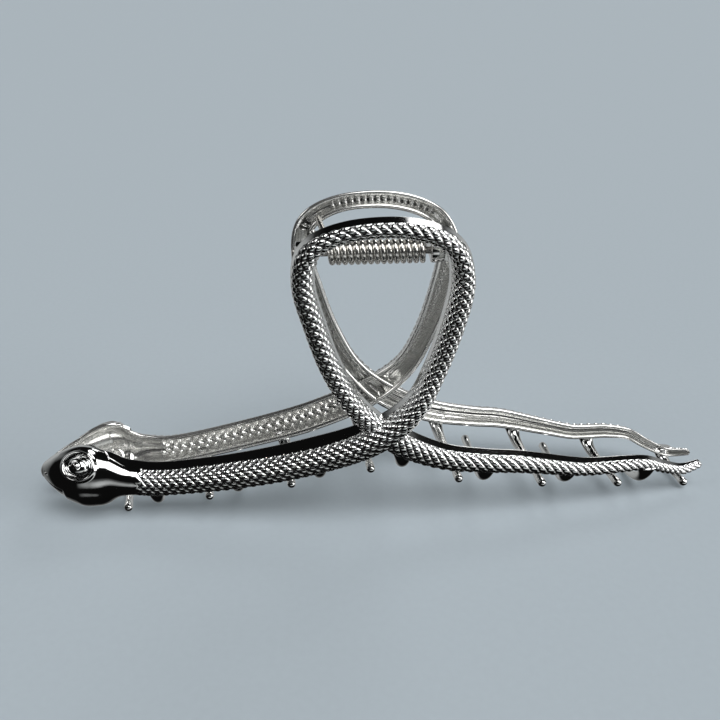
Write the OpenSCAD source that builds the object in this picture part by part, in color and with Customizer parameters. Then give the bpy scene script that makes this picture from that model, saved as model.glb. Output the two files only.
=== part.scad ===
// Claw hair clip in the shape of two mirrored snakes.
// Each jaw is one casting: a channel section swept along the snake's line, open towards the hair.
// X runs along the clip, heads at -X. The front jaw is at -Y, and the back jaw is nearly its mirror image
// in the plane Y = 0.
// Z is up and the clip stands on its tooth tips at Z = 0. The hinge pin lies along X.

/* [Overall] */
// Length from snout to tail tip
clip_l = 112; // [106:1:118]
// Height of the finger grips above the tooth tips
clip_h = 50; // [48:0.5:52]

/* [Casting] */
// Wall thickness of the channel section
wall_t = 1.1; // [0.9:0.1:1.3]
// Width of a tooth along the clip where it leaves the jaw
tooth_root_w = 3.6; // [3:0.1:4]
// Thickness of a tooth along its span
tooth_t = 1.5; // [1.2:0.1:1.8]
// Diameter of a tooth's rounded tip
tooth_tip_d = 1.4; // [1.2:0.1:1.6]

/* [Hinge] */
// Diameter of the hinge pin
pin_d = 1.1; // [1:0.05:1.15]
// Radial clearance of the pin in the lugs
pin_fit = 0.05; // [0.03:0.01:0.08]
// Height of the hinge pin's centre line
hinge_z = 42.7; // [42.4:0.1:43]
// Outer diameter of a lug's knuckle
knuckle_d = 3.8; // [3.4:0.1:4.2]
// Thickness of the back jaw's tail-side lug, measured along the pin
back_lug_t = 2.1; // [1.8:0.1:2.1]
// Thickness of the front jaw's tail-side lug, measured along the pin
front_lug_t = 1.7; // [1.4:0.1:1.8]
// Thickness of both head-side lugs, measured along the pin
head_side_lug_t = 1.5; // [1.3:0.1:1.6]
// Gap between neighbouring lugs
lug_gap = 0.25; // [0.2:0.05:0.3]

/* [Spring] */
// Wire diameter of the torsion spring
wire_d = 0.93; // [0.85:0.01:0.94]
// Number of close turns
coil_turns = 15; // [12:1:15]
// Outer diameter of the coil
coil_d = 3.9; // [3.7:0.05:3.95]

/* [Hidden] */
$fn = 48;
// True while a back piece is being made
$back = false;

stretch_x = clip_l / 112;
stretch_z = clip_h / 50;

// The snake's line, from the snout round the loop to the tail tip. Each row is
// [x, z of the middle, half the width, y of the rims, depth of the channel, lean of its outer side below level].
LINE = [
    [-55.6, 6.6, 0.7, 0.6, 1.0, 0],
    [-54.6, 6.7, 1.9, 1.1, 1.7, 0],
    [-51.5, 6.9, 4.0, 2.0, 3.7, 0],
    [-48.0, 7.1, 5.2, 2.6, 5.1, 0],
    [-45.5, 7.1, 5.1, 3.0, 5.0, 0],
    [-43.0, 7.3, 4.1, 3.2, 4.5, 6],
    [-40.0, 7.2, 2.9, 3.4, 4.3, 10],
    [-34.5, 7.0, 2.5, 3.4, 4.4, 11],
    [-23.0, 8.8, 2.5, 4.5, 4.8, 12],
    [-11.5, 11.4, 2.6, 5.3, 5.0, 12],
    [-1.0, 14.9, 2.5, 6.2, 4.8, 6],
    [5.3, 19.8, 1.95, 6.5, 4.4, 3],
    [8.6, 25.8, 1.8, 6.2, 3.9, 0],
    [11.2, 33.7, 1.9, 6.1, 3.9, 0],
    [12.4, 40.7, 1.9, 6.1, 3.8, 4],
    [10.6, 46.1, 1.5, 6.8, 3.2, 8],
    [4.4, 48.65, 1.4, 7.3, 2.6, 12],
    [-4.0, 48.4, 1.4, 7.3, 2.6, 12],
    [-9.6, 45.6, 1.6, 6.8, 3.2, 8],
    [-10.8, 40.4, 1.8, 6.1, 3.8, 4],
    [-9.5, 34.3, 1.8, 6.1, 3.8, 0],
    [-7.1, 26.9, 1.8, 6.2, 3.8, 0],
    [-3.3, 19.9, 1.75, 6.3, 3.6, 0],
    [2.6, 14.4, 2.2, 6.5, 3.3, 4],
    [10.0, 11.1, 2.0, 6.7, 3.1, 8],
    [17.2, 9.8, 1.8, 6.5, 3.0, 8],
    [23.0, 9.2, 1.7, 6.3, 2.9, 8],
    [31.3, 7.5, 1.4, 5.5, 2.7, 8],
    [35.6, 6.8, 1.3, 4.9, 2.5, 8],
    [41.0, 6.7, 1.2, 4.4, 2.3, 8],
    [44.9, 6.4, 1.0, 3.8, 2.1, 8],
    [48.2, 5.1, 0.9, 3.2, 2.0, 8],
    [51.8, 4.0, 0.8, 2.7, 1.7, 8],
    [55.6, 4.3, 0.5, 1.7, 1.2, 8]
];

TAIL_END = len(LINE) - 1;

// How the back jaw differs from the mirror image of the front one:
// [row of LINE, line along X, line along Z, more lean]
BACK_SHIFT = [
    [0, 0, 0, 0], [1, 0.6, -0.3, 8], [2, 1.9, -0.4, 14], [3, 2.5, 0, 18], [4, 1.7, -0.1, 20],
    [5, 0.7, -0.4, 18], [6, 0, -0.3, 10], [7, 0, 0, 9], [9, 0, 0, 8], [10, 0, 0.4, 8], [11, 0, 0, 4],
    [12, 0, 0, 0], [14, 0, 0, 0], [16, -0.7, 0, 0], [17, -0.8, 0, 0], [19, -0.3, 0, 0], [22, 0, 0, 0],
    [24, 0, 0, 6], [28, 0, 0, 6], [29, 0, 0.4, 6], [30, 0, 0.4, 6], [31, 0, -0.1, 6], [32, 0, -0.6, 6],
    [TAIL_END, 0, -0.45, 6]
];

// Rows of LINE where one stretch of a jaw ends and the next begins
HEAD_END = 6;
BODY_END = 10;
RIGHT_ARM_END = 15;
GRIP_END = 18;
LEFT_ARM_END = 23;

// The channel's side walls draw in by this slope up to a share of its depth, then arch over
WALL_DRAFT = 0.14;
BODY_STRAIGHT = 0.62;
HEAD_STRAIGHT = 0.15;
STEPS_PER_ROW = 3;
ARCH_STEPS = 6;

// Teeth: [x at the root, x at the tip, z under the tip, height of the elbow above that]
BACK_TEETH = [
    [-43.2, -41.7, 0, 0], [-29.5, -27.9, 2.2, 0], [-15.9, -14.2, 4.7, 0], [-3.0, -1.2, 7.8, 0],
    [11.2, 13.1, 5.6, 0], [25.1, 27.1, 3.7, 0], [38.2, 40.4, 2.2, 0], [51.4, 52.7, 0.5, 0]
];
FRONT_TEETH = [
    [-36.6, -37.0, 0, 0.3], [-23.0, -23.4, 2.6, 0], [-9.5, -10.0, 5.2, -0.4], [3.9, 3.5, 7.2, -0.3],
    [17.3, 16.6, 4.2, 0], [31.0, 30.6, 2.7, 0.5], [45.0, 44.2, 0, 2.4]
];
TOOTH_RINGS = 10;
TOOTH_SIDES = 8;
// How far a root is sunk into the jaw's lower wall, and how far it stands out from the rim
ROOT_SINK = 0.4;
ROOT_IN = 1.3;
// How far a tip reaches past the other jaw's rim
TIP_OVER = 0.8;

// The head-side lug and the tail-side lug of each jaw. The back lugs face the coil at COIL_SPACE.
COIL_SPACE = [-8.7, 8.5];
// How far a lug's web reaches from the pin to the arm's rim, and its height as a share of the knuckle's
LUG_REACH = 7;
WEB_SHARE = 0.8;
// The tail-side back lug's foot: how far it is moved and widened towards its arm, and where it starts
FOOT_MOVE = 0.9;
FOOT_WIDER = 1.6;
FOOT_FROM = 5;
back_lug_x = [COIL_SPACE[0] - head_side_lug_t / 2, COIL_SPACE[1] + back_lug_t / 2];
front_lug_x = [
    back_lug_x[0] - head_side_lug_t - lug_gap, back_lug_x[1] + (back_lug_t + front_lug_t) / 2 + lug_gap
];
bore_d = pin_d + 2 * pin_fit;
pin_head_d = pin_d + 0.8;
pin_head_t = 0.5;
// Play between the head-side end of the pin and its lug
PIN_PLAY = 0.1;

wire_gap = 0.05;
coil_pitch = wire_d + wire_gap;
coil_r = (coil_d - wire_d) / 2;
// X of the wire's centre where the coil starts
coil_x0 = -6.8;
coil_steps = 12;
WIRE_SIDES = 8;

// ---- The snake's line and its channel section ----

function mix(a, b, c, d, t) = 0.5 * (2 * b + (c - a) * t + (2 * a - 5 * b + 4 * c - d) * t * t
    + (3 * b - a - 3 * c + d) * t * t * t);

function row(i) = LINE[max(0, min(TAIL_END, i))];

function line_at(u) = let(i = min(floor(u), TAIL_END - 1))
    mix(row(i - 1), row(i), row(i + 1), row(i + 2), u - i);

function back_shift(u, column) = lookup(u, [for (p = BACK_SHIFT) [p[0], p[column]]]);

// Middle of the two rims at u, with the outside of the jaw towards -Y
function rim_point(u) = let(p = line_at(u), k = $back ? 1 : 0) [
    (p[0] + k * back_shift(u, 1)) * stretch_x, -p[3], (p[1] + k * back_shift(u, 2)) * stretch_z
];

function unit(v) = v / norm(v);

function along(u) = unit(rim_point(min(u + 0.02, TAIL_END)) - rim_point(max(u - 0.02, 0)));

// Lean of the channel's outer side below level, and the outward direction square to the line
function lean(u) = line_at(u)[5] + ($back ? back_shift(u, 3) : 0);
function outward(u) = let(f = lean(u), n = [0, -cos(f), -sin(f)], t = along(u)) unit(n - (n * t) * t);

function arch(h, d, straight, from, to) = [
    for (i = [0:ARCH_STEPS])
        let(a = from + (to - from) * i / ARCH_STEPS)
        [(h - WALL_DRAFT * d * straight) * sin(a), d * (straight + (1 - straight) * cos(a))]
];

// Closed outline of the section: [across, outward] pairs, rims at outward = 0
function section(h, d, straight) = let(t = min(wall_t, 0.5 * h), e = min(wall_t, 0.45 * d)) concat(
    [[-h, 0]], arch(h, d, straight, -90, 90), [[h, 0]],
    [[h - t, 0]], arch(h - t, d - e, straight, 90, -90), [[t - h, 0]]
);

function straightness(u) = u < 4 ? HEAD_STRAIGHT
    : u > HEAD_END + 1 ? BODY_STRAIGHT
    : HEAD_STRAIGHT + (BODY_STRAIGHT - HEAD_STRAIGHT) * (u - 4) / (HEAD_END - 3);

function ring(u) = let(p = line_at(u), t = along(u), n = outward(u), b = cross(t, n), o = rim_point(u))
    [for (q = section(p[2], p[4], straightness(u))) o + q[0] * b + q[1] * n];

// A closed skin over a list of rings that all have the same number of points
module skin(rings) {
    m = len(rings[0]);
    last = len(rings) - 1;
    sides = [
        for (i = [0:last - 1], j = [0:m - 1], k = [0, 1])
            let(a = i * m + j, b = i * m + (j + 1) % m)
            k == 0 ? [a, b + m, b] : [a, a + m, b + m]
    ];
    // The end faces are bands between the outer and the inner half of the outline
    caps = [
        for (j = [0:m / 2 - 2], k = [0:3])
            let(a = j, b = j + 1, c = m - 2 - j, d = m - 1 - j, e = last * m)
            k == 0 ? [a, b, c] : k == 1 ? [a, c, d]
            : k == 2 ? [a + e, c + e, b + e] : [a + e, d + e, c + e]
    ];
    polyhedron(points = [for (r = rings, p = r) p], faces = concat(sides, caps), convexity = 8);
}

module stretch(from, to) {
    n = (to - from) * STEPS_PER_ROW;
    skin([for (i = [0:n]) ring(from + i / STEPS_PER_ROW)]);
}

// ---- Teeth, lugs, pin and spring ----

// Half-width and rim of the jaw's lower edge at x, read from the stretches that carry teeth
LOWER_EDGE = [
    for (p = concat([for (i = [2:BODY_END]) LINE[i]], [for (i = [LEFT_ARM_END:TAIL_END]) LINE[i]])) p
];
function edge_y(x) = -lookup(x, [for (p = LOWER_EDGE) [p[0], p[3]]]);
function edge_z(x) = lookup(x, [for (p = LOWER_EDGE) [p[0], p[1] - p[2]]]);

// A ring of a tooth: rx is its half-width along the clip, r its half-width square to that
function tooth_ring(c, t, rx, r) = let(b = unit(cross(t, [1, 0, 0])), a = cross(b, t))
    [
        for (k = [0:TOOTH_SIDES - 1])
            c + rx * cos(k * 360 / TOOTH_SIDES) * a + r * sin(k * 360 / TOOTH_SIDES) * b
    ];

function bezier(a, b, c, d, s) = pow(1 - s, 3) * a + 3 * s * pow(1 - s, 2) * b
    + 3 * s * s * (1 - s) * c + pow(s, 3) * d;

// One tooth: down from the jaw's lower wall, then level across to the other jaw's rim
module tooth(spec) {
    r = tooth_t / 2;
    tip_r = tooth_tip_d / 2;
    root = [spec[0] * stretch_x, edge_y(spec[0]) - ROOT_IN, edge_z(spec[0]) + ROOT_SINK];
    tip = [spec[1] * stretch_x, TIP_OVER - edge_y(spec[1]), spec[2] + tip_r];
    elbow = [root[0], root[1], tip[2] + spec[3]];
    reach = [(root[0] + tip[0]) / 2, root[1] * 0.3, tip[2]];
    shaft = [
        for (i = [0:TOOTH_RINGS])
            let(s = i / TOOTH_RINGS, c = bezier(root, elbow, reach, tip, s))
            tooth_ring(
                c, unit(bezier(root, elbow, reach, tip, s + 0.01) - bezier(root, elbow, reach, tip, s - 0.01)),
                lookup(s, [[0, tooth_root_w / 2], [0.16, r * 1.35], [0.35, r], [0.85, tip_r]]),
                lookup(s, [[0, r * 1.1], [0.35, r], [0.85, tip_r]])
            )
    ];
    end = unit(tip - reach);
    nose = [for (a = [35, 70]) tooth_ring(tip + tip_r * sin(a) * end, end, tip_r * cos(a), tip_r * cos(a))];
    rod(concat(shaft, nose));
}

// A closed rod over rings of equal size, with flat ends
module rod(rings) {
    m = len(rings[0]);
    last = len(rings) - 1;
    sides = [
        for (i = [0:last - 1], j = [0:m - 1], k = [0, 1])
            let(a = i * m + j, b = i * m + (j + 1) % m)
            k == 0 ? [a, b + m, b] : [a, a + m, b + m]
    ];
    caps = [
        for (j = [1:m - 2], k = [0, 1])
            k == 0 ? [0, j, j + 1] : [last * m, last * m + j + 1, last * m + j]
    ];
    polyhedron(points = [for (r = rings, p = r) p], faces = concat(sides, caps), convexity = 4);
}

// A lug on the front jaw: a knuckle round the pin and a web out to the arm's rim
module lug(x, t) {
    web_h = knuckle_d * WEB_SHARE;
    translate([x - t / 2, 0, hinge_z]) rotate([90, 0, 90]) linear_extrude(t) difference() {
        union() {
            circle(d = knuckle_d);
            translate([-LUG_REACH, -web_h / 2]) square([LUG_REACH, web_h]);
        }
        circle(d = bore_d);
    }
}

// The web of a back lug also steps sideways, to where the arm is
module side_foot(x, width) {
    foot_h = knuckle_d * WEB_SHARE;
    translate([x - width / 2, -LUG_REACH, hinge_z - foot_h / 2]) cube([width, LUG_REACH - FOOT_FROM, foot_h]);
}

// The wire leaves the coil along its tangent at both ends, towards the middle of each grip's channel
BACK_LEG_END = [-8.6, 7.1, 46.4];
FRONT_LEG_END = [8.6, -7.4, 47.5];
LEG_RINGS = 3;
leg_angle = 20.5;
coil_from = 90 + leg_angle;
coil_to = 360 * coil_turns + 90 - leg_angle;

function coil_point(a) = [
    coil_x0 + coil_pitch * (a - coil_from) / 360, coil_r * cos(a), hinge_z + coil_r * sin(a)
];

function coil_way(a) = unit([coil_pitch / (2 * PI), -coil_r * sin(a), coil_r * cos(a)]);

// A ring of wire about a point, square to the way the wire runs
function wire_ring(c, way) = let(n = unit(cross(way, [1, 0, 0])), b = cross(way, n))
    [
        for (k = [0:WIRE_SIDES - 1])
            c + wire_d / 2 * (cos(k * 360 / WIRE_SIDES) * n + sin(k * 360 / WIRE_SIDES) * b)
    ];

module spring_wire() {
    coil_rings = round((coil_to - coil_from) * coil_steps / 360);
    from = coil_point(coil_from);
    to = coil_point(coil_to);
    rod(concat(
        [for (i = [0:LEG_RINGS - 1]) wire_ring(
            BACK_LEG_END + (from - BACK_LEG_END) * i / LEG_RINGS, unit(from - BACK_LEG_END))],
        [for (i = [0:coil_rings])
            let(a = coil_from + (coil_to - coil_from) * i / coil_rings) wire_ring(coil_point(a), coil_way(a))],
        [for (i = [1:LEG_RINGS]) wire_ring(
            to + (FRONT_LEG_END - to) * i / LEG_RINGS, unit(FRONT_LEG_END - to))]
    ));
}

// ---- The nodes ----

JAW_COLOUR = [0.78, 0.79, 0.8];
STEEL_COLOUR = [0.68, 0.69, 0.7];

module front_head() { color(JAW_COLOUR) stretch(0, HEAD_END); }
module front_body() { color(JAW_COLOUR) stretch(HEAD_END, BODY_END); }
module front_right_arm() { color(JAW_COLOUR) stretch(BODY_END, RIGHT_ARM_END); }
module front_grip() { color(JAW_COLOUR) stretch(RIGHT_ARM_END, GRIP_END); }
module front_left_arm() { color(JAW_COLOUR) stretch(GRIP_END, LEFT_ARM_END); }
module front_tail() { color(JAW_COLOUR) stretch(LEFT_ARM_END, TAIL_END); }
module front_teeth() { color(JAW_COLOUR) for (s = FRONT_TEETH) tooth(s); }
module front_lugs() {
    color(JAW_COLOUR) {
        lug(front_lug_x[0], head_side_lug_t);
        lug(front_lug_x[1], front_lug_t);
    }
}

module back_head() { mirror([0, 1, 0]) front_head($back = true); }
module back_body() { mirror([0, 1, 0]) front_body($back = true); }
module back_right_arm() { mirror([0, 1, 0]) front_right_arm($back = true); }
module back_grip() { mirror([0, 1, 0]) front_grip($back = true); }
module back_left_arm() { mirror([0, 1, 0]) front_left_arm($back = true); }
module back_tail() { mirror([0, 1, 0]) front_tail($back = true); }
module back_teeth() { color(JAW_COLOUR) mirror([0, 1, 0]) for (s = BACK_TEETH) tooth(s); }

module back_lugs() {
    color(JAW_COLOUR) mirror([0, 1, 0]) {
        lug(back_lug_x[0], head_side_lug_t);
        lug(back_lug_x[1], back_lug_t);
        side_foot(back_lug_x[1] + FOOT_MOVE, back_lug_t + FOOT_WIDER);
    }
}

module hinge_pin() {
    x0 = front_lug_x[0] - head_side_lug_t / 2 - PIN_PLAY;
    x1 = front_lug_x[1] + front_lug_t / 2 + lug_gap;
    color(STEEL_COLOUR) translate([0, 0, hinge_z]) rotate([0, 90, 0]) union() {
        translate([0, 0, x0]) cylinder(d = pin_d, h = x1 - x0);
        translate([0, 0, x0 - pin_head_t]) cylinder(d = pin_head_d, h = pin_head_t);
        translate([0, 0, x1]) cylinder(d = pin_head_d, h = pin_head_t);
    }
}

module torsion_spring() { color(STEEL_COLOUR) spring_wire(); }

back_head();
back_body();
back_right_arm();
back_grip();
back_left_arm();
back_tail();
back_teeth();
back_lugs();
front_head();
front_body();
front_right_arm();
front_grip();
front_left_arm();
front_tail();
front_teeth();
front_lugs();
hinge_pin();
torsion_spring();
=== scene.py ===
"""Looks of the snake-shaped claw hair clip.

Both jaws are bright plated castings with a raised scale pattern outside and its faint imprint inside.
Lengths are in millimetres until a mesh is made. X runs along the clip, with the heads at -X.
The front jaw is at -Y.
"""

import math

import bpy
import numpy as np
from mathutils import Matrix, Vector

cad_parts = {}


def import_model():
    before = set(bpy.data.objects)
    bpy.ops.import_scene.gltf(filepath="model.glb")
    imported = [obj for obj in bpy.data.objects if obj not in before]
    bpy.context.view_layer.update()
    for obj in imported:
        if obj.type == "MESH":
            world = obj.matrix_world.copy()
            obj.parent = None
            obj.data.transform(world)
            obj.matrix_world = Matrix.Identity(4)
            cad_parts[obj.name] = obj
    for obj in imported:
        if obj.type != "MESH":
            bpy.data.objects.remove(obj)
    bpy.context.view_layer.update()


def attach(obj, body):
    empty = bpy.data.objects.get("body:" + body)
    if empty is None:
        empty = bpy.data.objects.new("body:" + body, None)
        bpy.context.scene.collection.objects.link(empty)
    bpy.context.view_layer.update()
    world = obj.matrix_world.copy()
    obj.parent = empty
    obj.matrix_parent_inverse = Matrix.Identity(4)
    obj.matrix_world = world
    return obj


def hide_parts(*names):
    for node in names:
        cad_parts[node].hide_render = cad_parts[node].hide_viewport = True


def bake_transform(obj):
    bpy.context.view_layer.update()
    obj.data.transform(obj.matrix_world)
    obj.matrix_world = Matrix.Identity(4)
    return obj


MM = 0.001

# ---- The snake's line, as in the CAD ----

# x, z of the middle, half the width, y of the rims, depth of the channel, lean of its outer side below level
LINE = np.array([
    [-55.6, 6.6, 0.7, 0.6, 1.0, 0],
    [-54.6, 6.7, 1.9, 1.1, 1.7, 0],
    [-51.5, 6.9, 4.0, 2.0, 3.7, 0],
    [-48.0, 7.1, 5.2, 2.6, 5.1, 0],
    [-45.5, 7.1, 5.1, 3.0, 5.0, 0],
    [-43.0, 7.3, 4.1, 3.2, 4.5, 6],
    [-40.0, 7.2, 2.9, 3.4, 4.3, 10],
    [-34.5, 7.0, 2.5, 3.4, 4.4, 11],
    [-23.0, 8.8, 2.5, 4.5, 4.8, 12],
    [-11.5, 11.4, 2.6, 5.3, 5.0, 12],
    [-1.0, 14.9, 2.5, 6.2, 4.8, 6],
    [5.3, 19.8, 1.95, 6.5, 4.4, 3],
    [8.6, 25.8, 1.8, 6.2, 3.9, 0],
    [11.2, 33.7, 1.9, 6.1, 3.9, 0],
    [12.4, 40.7, 1.9, 6.1, 3.8, 4],
    [10.6, 46.1, 1.5, 6.8, 3.2, 8],
    [4.4, 48.65, 1.4, 7.3, 2.6, 12],
    [-4.0, 48.4, 1.4, 7.3, 2.6, 12],
    [-9.6, 45.6, 1.6, 6.8, 3.2, 8],
    [-10.8, 40.4, 1.8, 6.1, 3.8, 4],
    [-9.5, 34.3, 1.8, 6.1, 3.8, 0],
    [-7.1, 26.9, 1.8, 6.2, 3.8, 0],
    [-3.3, 19.9, 1.75, 6.3, 3.6, 0],
    [2.6, 14.4, 2.2, 6.5, 3.3, 4],
    [10.0, 11.1, 2.0, 6.7, 3.1, 8],
    [17.2, 9.8, 1.8, 6.5, 3.0, 8],
    [23.0, 9.2, 1.7, 6.3, 2.9, 8],
    [31.3, 7.5, 1.4, 5.5, 2.7, 8],
    [35.6, 6.8, 1.3, 4.9, 2.5, 8],
    [41.0, 6.7, 1.2, 4.4, 2.3, 8],
    [44.9, 6.4, 1.0, 3.8, 2.1, 8],
    [48.2, 5.1, 0.9, 3.2, 2.0, 8],
    [51.8, 4.0, 0.8, 2.7, 1.7, 8],
    [55.6, 4.3, 0.5, 1.7, 1.2, 8],
])
TAIL_END = len(LINE) - 1

# Rows of LINE where each stretch of a jaw starts and ends
STRETCHES = {
    "head": (0, 6),
    "body": (6, 10),
    "right_arm": (10, 15),
    "grip": (15, 18),
    "left_arm": (18, 23),
    "tail": (23, TAIL_END),
}
# How the back jaw differs from the mirror image of the front one: row of LINE, line along X and Z, more lean
BACK_SHIFT = np.array([
    [0, 0, 0, 0], [1, 0.6, -0.3, 8], [2, 1.9, -0.4, 14], [3, 2.5, 0, 18], [4, 1.7, -0.1, 20],
    [5, 0.7, -0.4, 18], [6, 0, -0.3, 10], [7, 0, 0, 9], [9, 0, 0, 8], [10, 0, 0.4, 8], [11, 0, 0, 4],
    [12, 0, 0, 0], [14, 0, 0, 0], [16, -0.7, 0, 0], [17, -0.8, 0, 0], [19, -0.3, 0, 0], [22, 0, 0, 0],
    [24, 0, 0, 6], [28, 0, 0, 6], [29, 0, 0.4, 6], [30, 0, 0.4, 6], [31, 0, -0.1, 6], [32, 0, -0.6, 6],
    [TAIL_END, 0, -0.45, 6],
])
# Slope of a channel's side walls, and the share of its depth that they take up before the arch
WALL_DRAFT = 0.14
BODY_STRAIGHT = 0.62
HEAD_STRAIGHT = 0.15

# ---- Scales ----

# Length of a scale on the body and at the tip, its width as a share of that, and its height
SCALE_PITCH = 1.44
SCALE_PITCH_AT_TIP = 1.02
SCALE_ACROSS = 1.11
SCALE_HEIGHT = 0.34
# The imprint inside: its depth, and its width and length as shares of the scales outside
IMPRINT_DEPTH = 0.5
IMPRINT_ACROSS = 2.1
IMPRINT_PITCH = 1.06
# Length of a bead and its gap inside a grip, and the height of a bead over the gap
BEAD_PITCH = 1.05
BEAD_HEIGHT = 0.2
# Height and pitch of the fine ribs inside the grip and the tail
RIB_HEIGHT = 0.06
RIB_PITCH = 0.7


def smooth(low, high, value):
    """0 below low, 1 above high, and a smooth step between."""
    t = np.clip((value - low) / (high - low), 0, 1)
    return t * t * (3 - 2 * t)


def between(value, rise, top, fall, end):
    """0 below rise and above end, 1 from top to fall, and smooth steps between."""
    return smooth(rise, top, value) * (1 - smooth(fall, end, value))


def line_at(u):
    """Rows of LINE at the parameters u, on the CAD's own spline."""
    i = np.clip(np.floor(u).astype(int), 0, TAIL_END - 1)
    t = (u - i)[:, None]
    a = LINE[np.clip(i - 1, 0, TAIL_END)]
    b = LINE[i]
    c = LINE[i + 1]
    d = LINE[np.clip(i + 2, 0, TAIL_END)]
    linear = 2 * b + (c - a) * t
    return 0.5 * (linear + (2 * a - 5 * b + 4 * c - d) * t**2 + (3 * b - a - 3 * c + d) * t**3)


def rim_points(u, back=False):
    """Middle of the two rims at u, with the outside of the jaw towards -Y."""
    p = line_at(u)
    x = p[:, 0]
    z = p[:, 1]
    if back:
        x = x + np.interp(u, BACK_SHIFT[:, 0], BACK_SHIFT[:, 1])
        z = z + np.interp(u, BACK_SHIFT[:, 0], BACK_SHIFT[:, 2])
    return np.stack([x, -p[:, 3], z], axis=1)


def unit(v):
    return v / np.maximum(np.linalg.norm(v, axis=-1, keepdims=True), 1e-12)


def line_frames(u, back):
    """Rim point, across and outward directions at u."""
    ahead = rim_points(np.minimum(u + 0.02, TAIL_END), back)
    behind = rim_points(np.maximum(u - 0.02, 0), back)
    along = unit(ahead - behind)
    lean = line_at(u)[:, 5]
    if back:
        lean = lean + np.interp(u, BACK_SHIFT[:, 0], BACK_SHIFT[:, 3])
    lean = np.radians(lean)
    down = np.stack([np.zeros_like(lean), -np.cos(lean), -np.sin(lean)], axis=1)
    outward = unit(down - (down * along).sum(axis=1, keepdims=True) * along)
    return rim_points(u, back), np.cross(along, outward), outward


# Length run along the rims at close steps of u, and the count of scales up to there
FINE_U = np.linspace(0, TAIL_END, 6001)
FINE_S = np.concatenate([[0], np.cumsum(np.linalg.norm(np.diff(rim_points(FINE_U), axis=0), axis=1))])
TAIL_S = np.interp(STRETCHES["tail"][0], FINE_U, FINE_S)
FINE_PITCH = SCALE_PITCH + (SCALE_PITCH_AT_TIP - SCALE_PITCH) * smooth(TAIL_S + 25, FINE_S[-1], FINE_S)
FINE_PHASE = np.concatenate([[0], np.cumsum(np.diff(FINE_S) / FINE_PITCH[1:])])


def stations(from_u, to_u, step, extra):
    """Parameters of rings a step apart, with extra rings past each end that isn't an end of the line."""
    s0 = np.interp(from_u, FINE_U, FINE_S)
    s1 = np.interp(to_u, FINE_U, FINE_S)
    n = int(math.ceil((s1 - s0) / step))
    before = extra if from_u > 0 else 0
    after = extra if to_u < TAIL_END else 0
    s = s0 + (s1 - s0) * np.arange(-before, n + 1 + after) / n
    return np.interp(s, FINE_S, FINE_U), s, before, after


# ---- The section of a jaw ----

# Radius of a rim's edges, width of its face and thickness of the channel's floor
RIM_ROUND = 0.38
RIM_BAND = 0.8
FLOOR_T = 0.9
# Points of a section on each rounded edge, outer wall, inner wall and inner arch
CORNER_STEPS = 6
WALL_STEPS = 24
INNER_WALL_STEPS = 7
INNER_ARCH = 40


def arch(h, d, straight, angles):
    """Points of an arch [ring, point, (across, outward)] from side to side."""
    across = (h - WALL_DRAFT * d * straight)[:, None] * np.sin(angles)
    out = d[:, None] * (straight[:, None] + (1 - straight[:, None]) * np.cos(angles))
    return np.stack([across, out], axis=2)


def wall(h, d, straight, start, count, side):
    """Points up a side wall, from a small height above the rim to where the arch springs."""
    t = np.linspace(0, 1, count, endpoint=False)[None, :]
    out = start[:, None] + (d * straight - start)[:, None] * t
    across = side * (h[:, None] - WALL_DRAFT * out)
    return np.stack([across, out], axis=2)


def corner(centre_across, radius, side, outer):
    """A quarter round of a rim, from its flat face to the wall, or back."""
    a = np.radians(np.linspace(0, 90, CORNER_STEPS, endpoint=False))[None, :]
    if not outer:
        a = np.radians(90) - np.radians(np.linspace(90, 0, CORNER_STEPS, endpoint=False))[None, :]
    grow = side if outer else -side
    across = centre_across[:, None] + grow * radius[:, None] * np.sin(a)
    out = radius[:, None] * (1 - np.cos(a))
    return np.stack([across, out], axis=2)


def section(h, d, straight, arch_points):
    """Closed outlines [ring, point, 2], and the slices of their points on the outer and the inner arch."""
    ease = np.linspace(-90, 90, arch_points)
    angles = np.radians(ease)[None, :]
    inner_angles = np.radians(np.linspace(90, -90, INNER_ARCH))[None, :]
    band = np.minimum(RIM_BAND, 0.5 * h)
    floor_t = np.minimum(FLOOR_T, 0.4 * d)
    r = np.minimum(RIM_ROUND, 0.45 * band)
    inner_h = h - band
    inner_d = d - floor_t
    outer_arch = arch(h, d, straight, angles)
    inner_arch = arch(inner_h, inner_d, straight, inner_angles)
    parts = [
        corner(-(h - r), r, -1, True),
        wall(h, d, straight, r, WALL_STEPS, -1),
        outer_arch,
        wall(h, d, straight, r, WALL_STEPS, 1)[:, ::-1],
        corner(h - r, r, 1, True)[:, ::-1],
        corner(inner_h + r, r, 1, False),
        wall(inner_h, inner_d, straight, r, INNER_WALL_STEPS, 1),
        inner_arch,
        wall(inner_h, inner_d, straight, r, INNER_WALL_STEPS, -1)[:, ::-1],
        corner(-(inner_h + r), r, -1, False)[:, ::-1],
    ]
    outline = np.concatenate(parts, axis=1)
    outer = slice(CORNER_STEPS, CORNER_STEPS + 2 * WALL_STEPS + arch_points)
    first_inner = outer.stop + 2 * CORNER_STEPS + INNER_WALL_STEPS
    inner = slice(first_inner, first_inner + INNER_ARCH)
    return outline, outer, inner


def across_arch(points):
    """Signed distance of each point of an arch from the arch's ridge, along the section."""
    step = np.linalg.norm(np.diff(points, axis=1), axis=2)
    run = np.concatenate([np.zeros((len(points), 1)), np.cumsum(step, axis=1)], axis=1)
    return run - run[:, -1:] / 2, run[:, -1:] / 2


def scale_domes(phase, pitch, v, stripes):
    """Height of the scales, 0 to 1.

    Where stripes is 1, the grooves that run down towards the tail are the deeper ones.
    """
    lean = v / (SCALE_ACROSS * pitch)
    a = phase + lean
    b = phase - lean
    fa = 2 * (a - np.round(a))
    fb = 2 * (b - np.round(b))
    deep = 1 - fb**2
    shallow = 1 - fa**2 * (1 - 0.5 * stripes)
    return np.clip(deep * shallow, 0, 1) ** 0.5


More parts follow.
